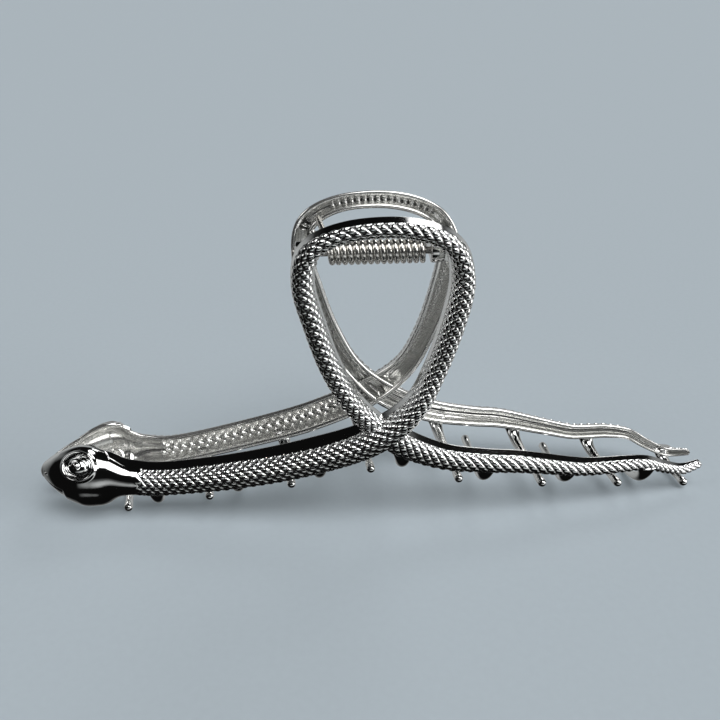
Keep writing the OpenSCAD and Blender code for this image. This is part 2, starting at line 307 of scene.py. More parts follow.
def section_normals(points):
    """Normals of a closed outline in its own plane."""
    step = np.roll(points, -1, axis=1) - np.roll(points, 1, axis=1)
    return unit(np.stack([-step[..., 1], step[..., 0]], axis=2))


def grid_normals(p):
    """Vertex normals of a grid that closes on itself along its second axis."""
    around = np.roll(p, -1, axis=1) - np.roll(p, 1, axis=1)
    along = np.gradient(p, axis=0)
    return unit(np.cross(around, along))


def round_ends(s, h, d):
    """Narrows the section to a rounded end at the snout and at the tail tip."""
    snout = np.clip(s / 0.8, 0, 1)
    tip = np.clip((FINE_S[-1] - s) / 0.5, 0, 1)
    f = np.sqrt(1 - (1 - snout) ** 2) * np.sqrt(1 - (1 - tip) ** 2)
    f = np.maximum(f, 0.02)
    return h * f, d * f


# Width of the plain band between a rim and the scales, along the line
PLAIN_BAND = np.array([
    [6, 1.6], [8, 1.7], [9.3, 2.4], [10.2, 1.9], [10.7, 1.3], [12, 1.1], [14.5, 1.1], [16, 1.4],
    [17.5, 1.4], [19, 1.0], [22, 1.0], [23.2, 1.4], [27, 1.25], [31, 0.8], [33, 0.35],
])


def scaled_lift(u, s, v, half):
    """Lift of the outer surface by its scales, and how deep each point lies in a groove."""
    phase = np.interp(s, FINE_S, FINE_PHASE)[:, None]
    pitch = np.interp(s, FINE_S, FINE_PITCH)[:, None]
    stripes = 0.15 + 0.85 * smooth(23.2, 25.5, u)[:, None]
    dome = scale_domes(phase, pitch, v, stripes)
    plain = np.interp(u, PLAIN_BAND[:, 0], PLAIN_BAND[:, 1])[:, None]
    edge = smooth(plain - 0.15, plain + 0.2, half - np.abs(v))
    ends = (smooth(6.12, 6.45, u) * smooth(0, 0.6, FINE_S[-1] - s))[:, None]
    return SCALE_HEIGHT * (dome - 0.6) * edge * ends, (1 - dome) * edge * ends


def printed_lift(u, s, v, half):
    """Lift of the inner surface, and how much painted shade each point of it gets.

    The scales' imprint gives way to a row of beads in the grip, and to fine ribs in the grip and the tail.
    """
    phase = np.interp(s, FINE_S, FINE_PHASE)[:, None]
    pitch = np.interp(s, FINE_S, FINE_PITCH)[:, None]
    in_body = between(u, 6.5, 6.9, 9.0, 9.9)
    in_arms = between(u, 11, 11.6, 14.3, 15) + between(u, 18.6, 19.2, 21.6, 22.6)
    printed = (in_body + 0.6 * in_arms)[:, None]
    edge = smooth(0, 0.3, half - np.abs(v))
    dome = scale_domes(phase / IMPRINT_PITCH, pitch * IMPRINT_ACROSS, -v, 0.3)
    imprint = IMPRINT_DEPTH * (dome - 0.3) * printed * edge
    ribbed = (smooth(22, 23.2, u) + between(u, 14.5, 15, 18, 18.5))[:, None] * edge
    ribs = RIB_HEIGHT * ribbed * np.cos(2 * math.pi * v / RIB_PITCH)
    bead = smooth(-0.7, 0.2, np.cos(2 * math.pi * s / BEAD_PITCH))[:, None]
    track = np.exp(-((v / 0.3) ** 4)) * between(u, 14.7, 15.3, 17.25, 17.35)[:, None]
    pocket, pocket_floor_shade = pocket_lift(s, v)
    # Painted shade: darker in the imprint's dimples, in the gaps between the beads and on the pocket floor.
    dark = (dome * printed * 0.25 + (1 - bead) * track) * edge + pocket_floor_shade
    return ribs - imprint + BEAD_HEIGHT * (bead - 0.5) * track + pocket, dark


# Middle of the pocket along the line, half its side, its depth and the height of its pip
POCKET_U = 18.15
POCKET_HALF = 0.75
POCKET_DEPTH = 0.45
PIP_HEIGHT = 0.4


def pocket_lift(s, v):
    """The square pocket with its pip, inside the head end of a grip: its lift, and 1 on its floor, which
    gets painted shade.
    """
    along = np.abs(s - np.interp(POCKET_U, FINE_U, FINE_S))[:, None]
    square = np.maximum(along, np.abs(v))
    pip = 1 - smooth(0.2, 0.42, np.hypot(along, v))
    floor = 1 - smooth(POCKET_HALF - 0.12, POCKET_HALF, square)
    return PIP_HEIGHT * pip - POCKET_DEPTH * floor, floor * (1 - pip)


# ---- Head ----

# Middle of the eye along the line and across the arch, and its half sizes
EYE_U = 3.22
EYE_ACROSS = -3.75
EYE_HALF_LENGTH = 2.75
EYE_HALF_HEIGHT = 2.2


def eye_relief(r, turn):
    """Profile of the eye from its middle (r 0) to its raised rim (r 1), with a small curl on the ball."""
    ball = 0.75 * np.sqrt(np.clip(1 - (r / 0.64) ** 2, 0, 1)) - 0.2
    moat = -0.5 * between(r, 0.56, 0.68, 0.78, 0.92)
    rim = 0.34 * between(r, 0.82, 0.95, 1.0, 1.2)
    curl_r = 0.24 + 0.03 * turn
    curl = -0.13 * np.exp(-(((r - curl_r) / 0.055) ** 2)) * smooth(-2.6, -2.0, turn)
    pupil = 0.1 * np.exp(-((r / 0.09) ** 2))
    inside = 1 - smooth(0.6, 0.66, r)
    return (ball + curl + pupil) * inside + moat + rim


def head_lift(grid, u, v):
    """Lift of a head's outer surface: the eye, the brow over it, the jowl, the lip and the nostril."""
    i = int(np.argmin(np.abs(u - EYE_U)))
    j = int(np.argmin(np.abs(v[i] - EYE_ACROSS)))
    centre = grid[i, j]
    ahead = unit(grid[i + 4, j] - grid[i - 4, j])
    side = unit(grid[i, j - 6] - grid[i, j + 6])
    a = (grid - centre) @ ahead
    b = (grid - centre) @ side
    near = np.linalg.norm(grid - centre, axis=2) < 5
    r = np.hypot(a / EYE_HALF_LENGTH, b / EYE_HALF_HEIGHT)
    lift = eye_relief(r, np.arctan2(b, a)) * near
    brow = np.exp(-(((b - 3.0 + 0.05 * a**2) / 0.45) ** 2)) * np.exp(-((a / 3.6) ** 2))
    lift += 0.3 * brow * near
    x = grid[..., 0] - grid[i, j, 0]
    below = smooth(0.6, 2.2, v)
    lift += 0.3 * between(x, -3.4, -2.7, 2.5, 6.5) * below
    from_lip = v - 0.9 - 0.12 * (x + 6)
    lift -= 0.22 * np.exp(-((from_lip / 0.16) ** 2)) * between(x, -8.5, -7.5, -3.6, -2.9)
    nostril = np.hypot((x + 6.3) / 0.4, (v + 0.9) / 0.28)
    lift -= 0.3 * (1 - smooth(0.5, 1.1, nostril))
    return lift * between(u, 0.25, 0.9, 5.2, 5.9)[:, None]


def eye_imprint(grid, u, v):
    """Lift of a head's inner surface behind the eye."""
    i = int(np.argmin(np.abs(u - EYE_U - 0.35)))
    j = int(np.argmin(np.abs(v[i] + 1.6)))
    r = np.linalg.norm(grid - grid[i, j], axis=2)
    ring = 0.22 * np.exp(-(((r - 1.1) / 0.22) ** 2))
    pip = 0.3 * np.exp(-((r / 0.4) ** 2))
    second = np.linalg.norm(grid - grid[min(i + 22, len(u) - 1), j], axis=2)
    return ring + pip + 0.25 * np.exp(-((second / 0.7) ** 2))


def jaw_surface(from_u, to_u, step, arch_points, back, extra=3):
    """Grid of points, their normals and marks for one stretch of a jaw.

    The marks say where painted shade goes, as how deep in a groove an outer point lies and how dark an inner
    point is painted, and whether a point is on a rim or inside the channel.
    """
    u, s, before, after = stations(from_u, to_u, step, extra)
    p = line_at(u)
    h, d = round_ends(s, p[:, 2], p[:, 4])
    straight = HEAD_STRAIGHT + (BODY_STRAIGHT - HEAD_STRAIGHT) * np.clip((u - 4) / 3, 0, 1)
    outline, outer, inner = section(h, d, straight, arch_points)
    normals = section_normals(outline)
    centre, across, outward = line_frames(u, back)

    def placed(flat):
        return centre[:, None] + flat[..., :1] * across[:, None] + flat[..., 1:] * outward[:, None]

    lift = np.zeros(outline.shape[:2])
    groove = np.zeros(outline.shape[:2])
    inside = np.zeros(outline.shape[:2])
    inside[:, :CORNER_STEPS] = 1
    inside[:, outer.stop:] = 1
    v, half = across_arch(outline[:, outer])
    lift[:, outer], groove[:, outer] = scaled_lift(u, s, v, half)
    v_inner, half_inner = across_arch(outline[:, inner])
    lift[:, inner], groove[:, inner] = printed_lift(u, s, v_inner, half_inner)
    if from_u == 0:
        base = placed(outline)
        lift[:, outer] += head_lift(base[:, outer], u, v)
        lift[:, inner] += eye_imprint(base[:, inner], u, v_inner)
    grid = placed(outline + normals * lift[..., None])
    keep = slice(before, len(u) - after)
    return grid[keep], grid_normals(grid)[keep], {"groove": groove[keep], "inside": inside[keep]}


# ---- Meshes ----


def add_object(name, mesh):
    obj = bpy.data.objects.new(name, mesh)
    bpy.context.scene.collection.objects.link(obj)
    return obj


def make_mesh(name, points, faces, normals, marks):
    """An object from points in millimetres, quads as an integer array, and normals and marks per point."""
    mesh = bpy.data.meshes.new(name)
    size = faces.shape[1]
    mesh.vertices.add(len(points))
    mesh.vertices.foreach_set("co", (points * MM).astype(np.float32).ravel())
    mesh.loops.add(faces.size)
    mesh.loops.foreach_set("vertex_index", faces.astype(np.int32).ravel())
    mesh.polygons.add(len(faces))
    mesh.polygons.foreach_set("loop_start", np.arange(0, faces.size, size, dtype=np.int32))
    mesh.polygons.foreach_set("use_smooth", np.ones(len(faces), dtype=bool))
    mesh.update(calc_edges=True)
    for mark, values in marks.items():
        layer = mesh.attributes.new(mark, "FLOAT", "POINT")
        layer.data.foreach_set("value", values.astype(np.float32).ravel())
    mesh.normals_split_custom_set_from_vertices(normals.tolist())
    return add_object(name, mesh)


def grid_faces(rings, sides):
    """Quads of a grid whose rings close on themselves, open at its first and last ring."""
    i, j = np.meshgrid(np.arange(rings - 1), np.arange(sides), indexing="ij")
    a = i * sides + j
    b = i * sides + (j + 1) % sides
    return np.stack([a, b, b + sides, a + sides], axis=2).reshape(-1, 4)


def rod_faces(rings, sides):
    """Faces of a closed rod over rings of points, with one polygon over each end."""
    faces = grid_faces(rings, sides).tolist()
    faces.append(list(range(sides))[::-1])
    faces.append([(rings - 1) * sides + k for k in range(sides)])
    return faces


def hoop_faces(rings, sides):
    """Quads of a grid that closes on itself along both axes."""
    i, j = np.meshgrid(np.arange(rings), np.arange(sides), indexing="ij")
    a = i * sides + j
    b = i * sides + (j + 1) % sides
    up = ((i + 1) % rings - i) * sides
    return np.stack([a, b, b + up, a + up], axis=2).reshape(-1, 4).tolist()


def make_solids(name, grids, faces_of, flip=False):
    """One object of several closed solids, each a [ring, side, 3] grid in millimetres.

    flip turns the faces over, as a mirrored grid needs.
    """
    points = []
    faces = []
    base = 0
    for grid in grids:
        rings, sides = grid.shape[:2]
        points.append(grid.reshape(-1, 3))
        for face in faces_of(rings, sides):
            face = [base + k for k in face]
            faces.append(face[::-1] if flip else face)
        base += rings * sides
    mesh = bpy.data.meshes.new(name)
    mesh.from_pydata((np.concatenate(points) * MM).tolist(), [], faces)
    mesh.polygons.foreach_set("use_smooth", np.ones(len(faces), dtype=bool))
    mesh.update()
    return add_object(name, mesh)


def mirrored(grid):
    return grid * np.array([1.0, -1.0, 1.0])


def jaw_piece(side, part, step, arch_points):
    """One stretch of a jaw. side is 1 for the front jaw and -1 for its mirror image at the back."""
    grid, normals, marks = jaw_surface(*STRETCHES[part], step, arch_points, side < 0)
    rings, sides = grid.shape[:2]
    points = grid.reshape(-1, 3).copy()
    normals = normals.reshape(-1, 3).copy()
    faces = grid_faces(rings, sides)
    if side < 0:
        points[:, 1] *= -1
        normals[:, 1] *= -1
        faces = faces[:, ::-1]
    jaw = "front" if side > 0 else "back"
    obj = make_mesh(f"{jaw}_{part}_shell", points, faces, normals, marks)
    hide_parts(f"{jaw}_{part}")
    return obj


# ---- Teeth ----

# x at the root, x at the tip, z under the tip, height of the elbow above that
BACK_TEETH = [
    [-43.2, -41.7, 0, 0], [-29.5, -27.9, 2.2, 0], [-15.9, -14.2, 4.7, 0], [-3.0, -1.2, 7.8, 0],
    [11.2, 13.1, 5.6, 0], [25.1, 27.1, 3.7, 0], [38.2, 40.4, 2.2, 0], [51.4, 52.7, 0.5, 0],
]
FRONT_TEETH = [
    [-36.6, -37.0, 0, 0.3], [-23.0, -23.4, 2.6, 0], [-9.5, -10.0, 5.2, -0.4], [3.9, 3.5, 7.2, -0.3],
    [17.3, 16.6, 4.2, 0], [31.0, 30.6, 2.7, 0.5], [45.0, 44.2, 0, 2.4],
]
# Radius of a tooth's shaft, how much slimmer it gets, and how much wider it is at the root and at the tip
SHAFT_R = 0.84
SHAFT_TAPER = 0.26
ROOT_FLARE = 0.95
TIP_BULB = 0.12
TIP_R = 0.7
# How far a tip reaches past the other jaw's rim
TIP_OVER = 0.8
LOWER_EDGE = np.concatenate([LINE[2:11], LINE[23:]])
TOOTH_SIDES = 28
TOOTH_RINGS = 56


def edge_y(x):
    return -np.interp(x, LOWER_EDGE[:, 0], LOWER_EDGE[:, 3])


def edge_z(x):
    return np.interp(x, LOWER_EDGE[:, 0], LOWER_EDGE[:, 1] - LOWER_EDGE[:, 2])


def bezier(a, b, c, d, t):
    return (1 - t) ** 3 * a + 3 * t * (1 - t) ** 2 * b + 3 * t * t * (1 - t) * c + t**3 * d


def tooth_surface(spec):
    """Points of one front tooth as rings, from its root in the jaw's lower wall to its rounded tip."""
    root_x, tip_x, under, lift = spec
    root = np.array([root_x, edge_y(root_x) - 1.3, edge_z(root_x) + 0.4])
    tip = np.array([tip_x, TIP_OVER - edge_y(tip_x), under + TIP_R])
    elbow = np.array([root[0], root[1], tip[2] + lift])
    reach = np.array([(root[0] + tip[0]) / 2, root[1] * 0.3, tip[2]])
    t = np.linspace(0, 1, TOOTH_RINGS)
    centre = bezier(root, elbow, reach, tip, t[:, None])
    ahead = bezier(root, elbow, reach, tip, t[:, None] + 0.01)
    behind = bezier(root, elbow, reach, tip, t[:, None] - 0.01)
    way = unit(ahead - behind)
    flare = np.exp(-t / 0.16)
    shaft = SHAFT_R - SHAFT_TAPER * smooth(0.35, 0.85, t)
    bulb = TIP_BULB * smooth(0.9, 0.97, t)
    wide = shaft + ROOT_FLARE * flare + bulb
    deep = shaft + 0.15 * flare + bulb
    angles = np.radians(np.linspace(15, 86, 7))
    centre = np.concatenate([centre, tip + TIP_R * np.sin(angles)[:, None] * way[-1]])
    way = np.concatenate([way, np.repeat(way[-1:], len(angles), axis=0)])
    wide = np.concatenate([wide, TIP_R * np.cos(angles)])
    deep = np.concatenate([deep, TIP_R * np.cos(angles)])
    b = unit(np.cross(way, [1.0, 0, 0]))
    a = np.cross(b, way)
    turn = np.linspace(0, 2 * math.pi, TOOTH_SIDES, endpoint=False)
    ring = np.cos(turn)[None, :, None] * (wide[:, None, None] * a[:, None])
    return centre[:, None] + ring + np.sin(turn)[None, :, None] * (deep[:, None, None] * b[:, None])


def make_teeth():
    front = make_solids("front_teeth_row", [tooth_surface(s) for s in FRONT_TEETH], rod_faces)
    back_grids = [mirrored(tooth_surface(s)) for s in BACK_TEETH]
    back = make_solids("back_teeth_row", back_grids, rod_faces, flip=True)
    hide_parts("front_teeth")
    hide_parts("back_teeth")
    return front, back


# ---- Hinge ----

HINGE_Z = 42.7
PIN_R = 0.55
BORE_R = 0.6
KNUCKLE_R = 1.9
# Thickness of the lugs: the back and the front one on the tail side, and both on the head side
BACK_LUG_T = 2.1
FRONT_LUG_T = 1.7
HEAD_SIDE_LUG_T = 1.5
LUG_GAP = 0.25
# Where the back jaw's lugs face the spring
COIL_SPACE = [-8.7, 8.5]
BACK_LUG_X = [COIL_SPACE[0] - HEAD_SIDE_LUG_T / 2, COIL_SPACE[1] + BACK_LUG_T / 2]
FRONT_LUG_X = [
    BACK_LUG_X[0] - HEAD_SIDE_LUG_T - LUG_GAP, BACK_LUG_X[1] + (BACK_LUG_T + FRONT_LUG_T) / 2 + LUG_GAP
]
# Half height of the web that joins a lug to its arm, how far it reaches, and the rounding of a lug's edges
WEB_HALF = KNUCKLE_R * 0.8
WEB_REACH = 7.0
LUG_ROUND = 0.3
# The foot of the back jaw's lug on the tail side: rounding, nearest y, move along X and how much wider it is
FOOT_ROUND = 0.35
FOOT_FROM = 5.0
FOOT_MOVE = 0.9
FOOT_WIDER = 1.6
# Edges sharper than this stay sharp
SMOOTH_UP_TO = math.radians(40)


def lug_reach(turn):
    """Distance from the pin's centre to the edge of a front lug in each direction, from level towards -Y."""
    radius = np.full_like(turn, KNUCKLE_R)
    towards = np.cos(turn) > 0
    web = np.minimum(
        WEB_REACH / np.maximum(np.cos(turn), 1e-6), WEB_HALF / np.maximum(np.abs(np.sin(turn)), 1e-6)
    )
    return np.where(towards, np.maximum(radius, np.minimum(web, WEB_REACH * 1.1)), radius)


def lug_surface(x, thick):
    """Loops round the bore, one after the other: bore, chamfer, side face, rounded edge, and back again."""
    corner_turn = math.atan2(WEB_HALF, WEB_REACH)
    join = math.asin(WEB_HALF / KNUCKLE_R)
    turn = np.concatenate([
        np.linspace(-corner_turn, corner_turn, 8, endpoint=False),
        np.linspace(corner_turn, join, 12, endpoint=False),
        np.linspace(join, 2 * math.pi - join, 48, endpoint=False),
        np.linspace(-join, -corner_turn, 12, endpoint=False),
    ])
    reach = lug_reach(turn)
    half = thick / 2
    round_angles = np.radians(np.linspace(0, 90, 6))
    profile = [(BORE_R, 0.0, -half + 0.1), (BORE_R + 0.1, 0.0, -half)]
    for a in round_angles:
        profile.append((0, -LUG_ROUND * (1 - math.sin(a)), -half + LUG_ROUND * (1 - math.cos(a))))
    mirror = [(r, inset, -across) for r, inset, across in reversed(profile)]
    loops = []
    for fixed, inset, across in profile + mirror:
        r = np.full_like(reach, fixed) if fixed else reach + inset
        y = -r * np.cos(turn)
        z = HINGE_Z + r * np.sin(turn)
        loops.append(np.stack([np.full_like(y, x + across), y, z], axis=1))
    return np.stack(loops)


def foot_block(x, width, y0, y1):
    """The sideways step of a back lug's web: a block with rounded long edges, as rings along X."""
    r = FOOT_ROUND
    half_y = (y1 - y0) / 2
    middle_y = (y0 + y1) / 2
    outline = []
    for cy, cz, start in ((1, 1, 0), (-1, 1, 90), (-1, -1, 180), (1, -1, 270)):
        for a in np.radians(np.linspace(start, start + 90, 6)):
            y = middle_y + cy * (half_y - r) + r * math.cos(a)
            z = HINGE_Z + cz * (WEB_HALF - r) + r * math.sin(a)
            outline.append([y, z])
    outline = np.array(outline)
    middle = np.array([middle_y, HINGE_Z])
    rings = [(-width / 2, 0.25), (-width / 2 + 0.08, 0.08), (-width / 2 + 0.25, 0.0)]
    rings += [(-a, i) for a, i in reversed(rings)]
    grid = []
    for across, inset in rings:
        shrunk = middle + (outline - middle) * (1 - inset / half_y)
        grid.append(np.column_stack([np.full(len(shrunk), x + across), shrunk]))
    return np.stack(grid)


def make_lugs():
    """The lugs of both jaws, and the sideways foot of the back jaw's lug on the tail side."""
    front_grids = [lug_surface(FRONT_LUG_X[0], HEAD_SIDE_LUG_T), lug_surface(FRONT_LUG_X[1], FRONT_LUG_T)]
    back_grids = [
        mirrored(lug_surface(BACK_LUG_X[0], HEAD_SIDE_LUG_T)),
        mirrored(lug_surface(BACK_LUG_X[1], BACK_LUG_T)),
    ]
    # Known flaw: the faces of these two pieces point inwards
    front = make_solids("front_hinge_lugs", front_grids, hoop_faces)
    back = make_solids("back_hinge_lugs", back_grids, hoop_faces, flip=True)
    foot_grid = foot_block(BACK_LUG_X[1] + FOOT_MOVE, BACK_LUG_T + FOOT_WIDER, FOOT_FROM, WEB_REACH)
    feet = make_solids("back_lug_foot", [foot_grid], rod_faces)
    for obj in (front, back, feet):
        obj.data.set_sharp_from_angle(angle=SMOOTH_UP_TO)
    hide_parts("front_lugs")
    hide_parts("back_lugs")
    return front, back, feet


# The pin's profile at an end: distance from the end and radius, over the domed head and onto the shaft
PIN_END = [
    (0, 0.02), (0.04, 0.45), (0.16, 0.8), (0.32, 0.95), (0.46, 0.9), (0.5, 0.8), (0.52, PIN_R + 0.06),
    (0.6, PIN_R),
]
PIN_OVER = 0.6
PIN_SIDES = 48


def make_pin():
    """The pin with its two upset, domed ends."""
    left = FRONT_LUG_X[0] - HEAD_SIDE_LUG_T / 2 - PIN_OVER
    right = FRONT_LUG_X[1] + FRONT_LUG_T / 2 + LUG_GAP + 0.5
    profile = [(left + inset, radius) for inset, radius in PIN_END]
    tail = [(right - inset, radius) for inset, radius in reversed(PIN_END)]
    profile += [(left + PIN_OVER + k, PIN_R) for k in range(1, 13)]
    turn = np.linspace(0, 2 * math.pi, PIN_SIDES, endpoint=False)
    rings = []
    for x, radius in profile + tail:
        y = radius * np.cos(turn)
        z = HINGE_Z + radius * np.sin(turn)
        rings.append(np.column_stack([np.full(PIN_SIDES, x), y, z]))
    pin = make_solids("pin_steel_rod", [np.stack(rings)], rod_faces)
    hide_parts("hinge_pin")
    return pin


# ---- Spring ----

# Radius of the wire, of the coil's middle line, and the coil's pitch and turns
WIRE_R = 0.465
COIL_R = 1.485
COIL_PITCH = 0.98
COIL_TURNS = 15
COIL_X0 = -6.8
# Where the legs leave the coil, as a turn from straight up
LEG_ANGLE = 20.5
COIL_FROM = 90 + LEG_ANGLE
COIL_TO = 360 * COIL_TURNS + 90 - LEG_ANGLE
BACK_LEG_END = np.array([-8.6, 7.1, 46.4])
FRONT_LEG_END = np.array([8.6, -7.4, 47.5])
WIRE_SIDES = 20
RINGS_PER_TURN = 36
LEG_RINGS = 24
WIRE_END_CHAMFER = 0.12


def coil_points(angles):
    a = np.radians(angles)
    x = COIL_X0 + COIL_PITCH * (angles - COIL_FROM) / 360
    return np.column_stack([x, COIL_R * np.cos(a), HINGE_Z + COIL_R * np.sin(a)])


def make_spring():
    """The wire: the back leg, the close coil on the pin, and the front leg."""
    coil = coil_points(np.linspace(COIL_FROM, COIL_TO, COIL_TURNS * RINGS_PER_TURN))
    t = np.linspace(0, 1, LEG_RINGS, endpoint=False)[:, None]
    back_leg = BACK_LEG_END + (coil[0] - BACK_LEG_END) * t
    front_leg = FRONT_LEG_END + (coil[-1] - FRONT_LEG_END) * t
    path = np.concatenate([back_leg, coil, front_leg[::-1]])
    way = unit(np.gradient(path, axis=0))
    n = unit(np.cross(way, [1.0, 0, 0]))
    b = np.cross(way, n)
    turn = np.linspace(0, 2 * math.pi, WIRE_SIDES, endpoint=False)
    ring = np.cos(turn)[None, :, None] * n[:, None] + np.sin(turn)[None, :, None] * b[:, None]
    radius = np.full(len(path), WIRE_R)
    radius[[0, -1]] = WIRE_R - WIRE_END_CHAMFER
    grid = path[:, None] + radius[:, None, None] * ring
    spring = make_solids("spring_wire", [grid], rod_faces)
    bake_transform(spring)
    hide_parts("torsion_spring")
    return spring


# ---- Materials ----


def new_material(name):
    material = bpy.data.materials.new(name)
    material.use_nodes = True
    tree = material.node_tree
    tree.nodes.clear()
    out = tree.nodes.new("ShaderNodeOutputMaterial")
    shader = tree.nodes.new("ShaderNodeBsdfPrincipled")
    tree.links.new(shader.outputs["BSDF"], out.inputs["Surface"])
    return material, tree, shader


def add_node(tree, kind, **inputs):
    node = tree.nodes.new(kind)
    for key, value in inputs.items():
        node.inputs[key.replace("_", " ")].default_value = value
    return node


def noise(tree, scale, detail):
    coords = tree.nodes.new("ShaderNodeTexCoord")
    node = add_node(tree, "ShaderNodeTexNoise", Scale=scale, Detail=detail)
    tree.links.new(coords.outputs["Object"], node.inputs["Vector"])
    return node.outputs["Fac"]


def map_range(tree, value, from_min, from_max, to_min, to_max):
    node = tree.nodes.new("ShaderNodeMapRange")
    ends = {"From Min": from_min, "From Max": from_max, "To Min": to_min, "To Max": to_max}
    for key, number in ends.items():
        node.inputs[key].default_value = number
    tree.links.new(value, node.inputs["Value"])
    return node.outputs["Result"]


def mix_colour(tree, factor, first, second):
    node = tree.nodes.new("ShaderNodeMix")
    node.data_type = "RGBA"
    tree.links.new(factor, node.inputs["Factor"])
    for socket, value in zip((node.inputs[6], node.inputs[7]), (first, second)):
        if isinstance(value, tuple):
            socket.default_value = value
        else:
            tree.links.new(value, socket)
    return node.outputs[2]


def add_bump(tree, shader, height, strength, distance):
    bump = tree.nodes.new("ShaderNodeBump")
    bump.inputs["Strength"].default_value = strength
    bump.inputs["Distance"].default_value = distance
    tree.links.new(height, bump.inputs["Height"])
    tree.links.new(bump.outputs["Normal"], shader.inputs["Normal"])


def maths(tree, operation, first, second):
    node = tree.nodes.new("ShaderNodeMath")
    node.operation = operation
    for socket, value in zip(node.inputs, (first, second)):
        if isinstance(value, (int, float)):
            socket.default_value = value
        else:
            tree.links.new(value, socket)
    return node.outputs["Value"]


def attribute_value(tree, name):
    node = tree.nodes.new("ShaderNodeAttribute")
    node.attribute_name = name
    return node.outputs["Fac"]


def plating_material():
    """Bright plating over a die casting: mirror-like outside, duller inside, with painted shade that darkens
    the grooves.
    """
    material, tree, shader = new_material("bright_plating")
    inside = attribute_value(tree, "inside")
    tree.links.new(map_range(tree, inside, 0.0, 1.0, 1.0, 0.9), shader.inputs["Metallic"])
    # Painted shade: where the groove mark is high, the base colour turns near black. This covers the outer
    # grooves and the inner imprint, bead gaps and pocket.
    painted_groove_shade = map_range(tree, attribute_value(tree, "groove"), 0.3, 1.0, 0.0, 1.0)
    cloud = map_range(tree, noise(tree, 260, 4), 0.35, 0.65, 0.6, 1.0)
    painted_shade_patch = maths(tree, "MULTIPLY", painted_groove_shade, cloud)
    plating = mix_colour(tree, inside, (0.86, 0.865, 0.86, 1), (0.9, 0.9, 0.88, 1))
    # The near black colour mixed in here is painted shade.
    colour = mix_colour(tree, painted_shade_patch, plating, (0.05, 0.052, 0.05, 1))
    tree.links.new(colour, shader.inputs["Base Color"])
    smudge = map_range(tree, noise(tree, 90, 6), 0.3, 0.7, 0.05, 0.11)
    satin = maths(tree, "ADD", smudge, maths(tree, "MULTIPLY", inside, 0.09))
    rough = maths(tree, "ADD", satin, maths(tree, "MULTIPLY", painted_shade_patch, 0.14))
    tree.links.new(rough, shader.inputs["Roughness"])
    add_bump(tree, shader, noise(tree, 1400, 3), 0.1, 0.00006)
    return material


def steel_material(name, colour, rough_low, rough_high):
    """Drawn steel with fine lines of wear."""
    material, tree, shader = new_material(name)
    shader.inputs["Metallic"].default_value = 0.93
    spots = noise(tree, 700, 5)
    darker = (colour[0] * 0.82, colour[1] * 0.8, colour[2] * 0.78, 1)
    tree.links.new(mix_colour(tree, spots, colour, darker), shader.inputs["Base Color"])
    rough = map_range(tree, noise(tree, 1500, 4), 0.3, 0.7, rough_low, rough_high)
    tree.links.new(rough, shader.inputs["Roughness"])
    add_bump(tree, shader, noise(tree, 4000, 2), 0.12, 0.00003)
    return material


def floor_material():
    material, tree, shader = new_material("pale_floor")
    colour = mix_colour(tree, noise(tree, 900, 4), (0.37, 0.42, 0.46, 1), (0.4, 0.455, 0.495, 1))
    tree.links.new(colour, shader.inputs["Base Color"])
    shader.inputs["Roughness"].default_value = 0.9
    shader.inputs["Specular IOR Level"].default_value = 0.1
    # The floor glows faintly: painted light that lifts the shadow the clip casts on it.
    shader.inputs["Emission Color"].default_value = (0.8, 0.93, 1.0, 1)
    shader.inputs["Emission Strength"].default_value = 0.1
    return material


# ---- Camera, light and floor ----

# Place of the camera in millimetres, and the directions to its right and ahead of it
CAMERA_PLACE = Vector((-6.72, -116.45, 79.36))
CAMERA_RIGHT = Vector((0.9990, -0.0432, -0.0137))
CAMERA_FORWARD = Vector((0.0333, 0.9045, -0.4251))


def make_camera():
    """The view from the front and about 25 degrees above."""
    right = CAMERA_RIGHT.normalized()
    forward = CAMERA_FORWARD.normalized()
    up = right.cross(forward).normalized()
    right = forward.cross(up).normalized()
    data = bpy.data.cameras.new("camera")
    data.sensor_width = 36
    data.lens = 40.0
    data.clip_start = 0.005
    data.clip_end = 100
    camera = bpy.data.objects.new("camera", data)
    turn = Matrix((right, up, -forward)).transposed().to_4x4()
    camera.matrix_world = Matrix.Translation(CAMERA_PLACE * MM) @ turn
    bpy.context.scene.collection.objects.link(camera)
    bpy.context.scene.camera = camera


BACKDROP = (0.40, 0.452, 0.49, 1)
# Elevation in degrees, then the grey level of the surroundings there, in front of the clip and behind it
NEAR_SIDE = [
    (-90, 0.003), (-31, 0.004), (-25, 0.45), (-19, 0.75), (-12, 0.6), (-5, 0.15), (3, 0.005), (90, 0.003)
]
FAR_SIDE = [
    (-90, 0.02), (-40, 0.30), (0, 0.42), (20, 0.30), (32, 0.02), (42, 0.003), (90, 0.003)
]
# The near side is dark towards -X, up to the first of these x of the direction, and full from the second on
NEAR_SIDE_X = (-0.62, 0.25)
# Soft lights at a great distance: direction, half angles of the full light and of its soft edge, strength
SOFT_LIGHTS = [
    ((0.30, -0.38, 0.87), 18, 26, 4.4),
    ((0.34, 0.68, 0.65), 8, 12, 3.5),
    ((0.90, -0.28, 0.30), 15, 24, 3.6),
    ((-0.72, -0.20, 0.66), 7, 13, 2.6),
]


def elevation_ramp(tree, place, stops):
    ramp = tree.nodes.new("ShaderNodeValToRGB")
    ramp.color_ramp.interpolation = "LINEAR"
    elements = ramp.color_ramp.elements
    while len(elements) < len(stops):
        elements.new(0.5)
    for element, (degrees, level) in zip(elements, stops):
        element.position = degrees / 180 + 0.5
        element.color = (level * 0.97, level, level, 1)
    tree.links.new(place, ramp.inputs["Fac"])
    return ramp.outputs["Color"]


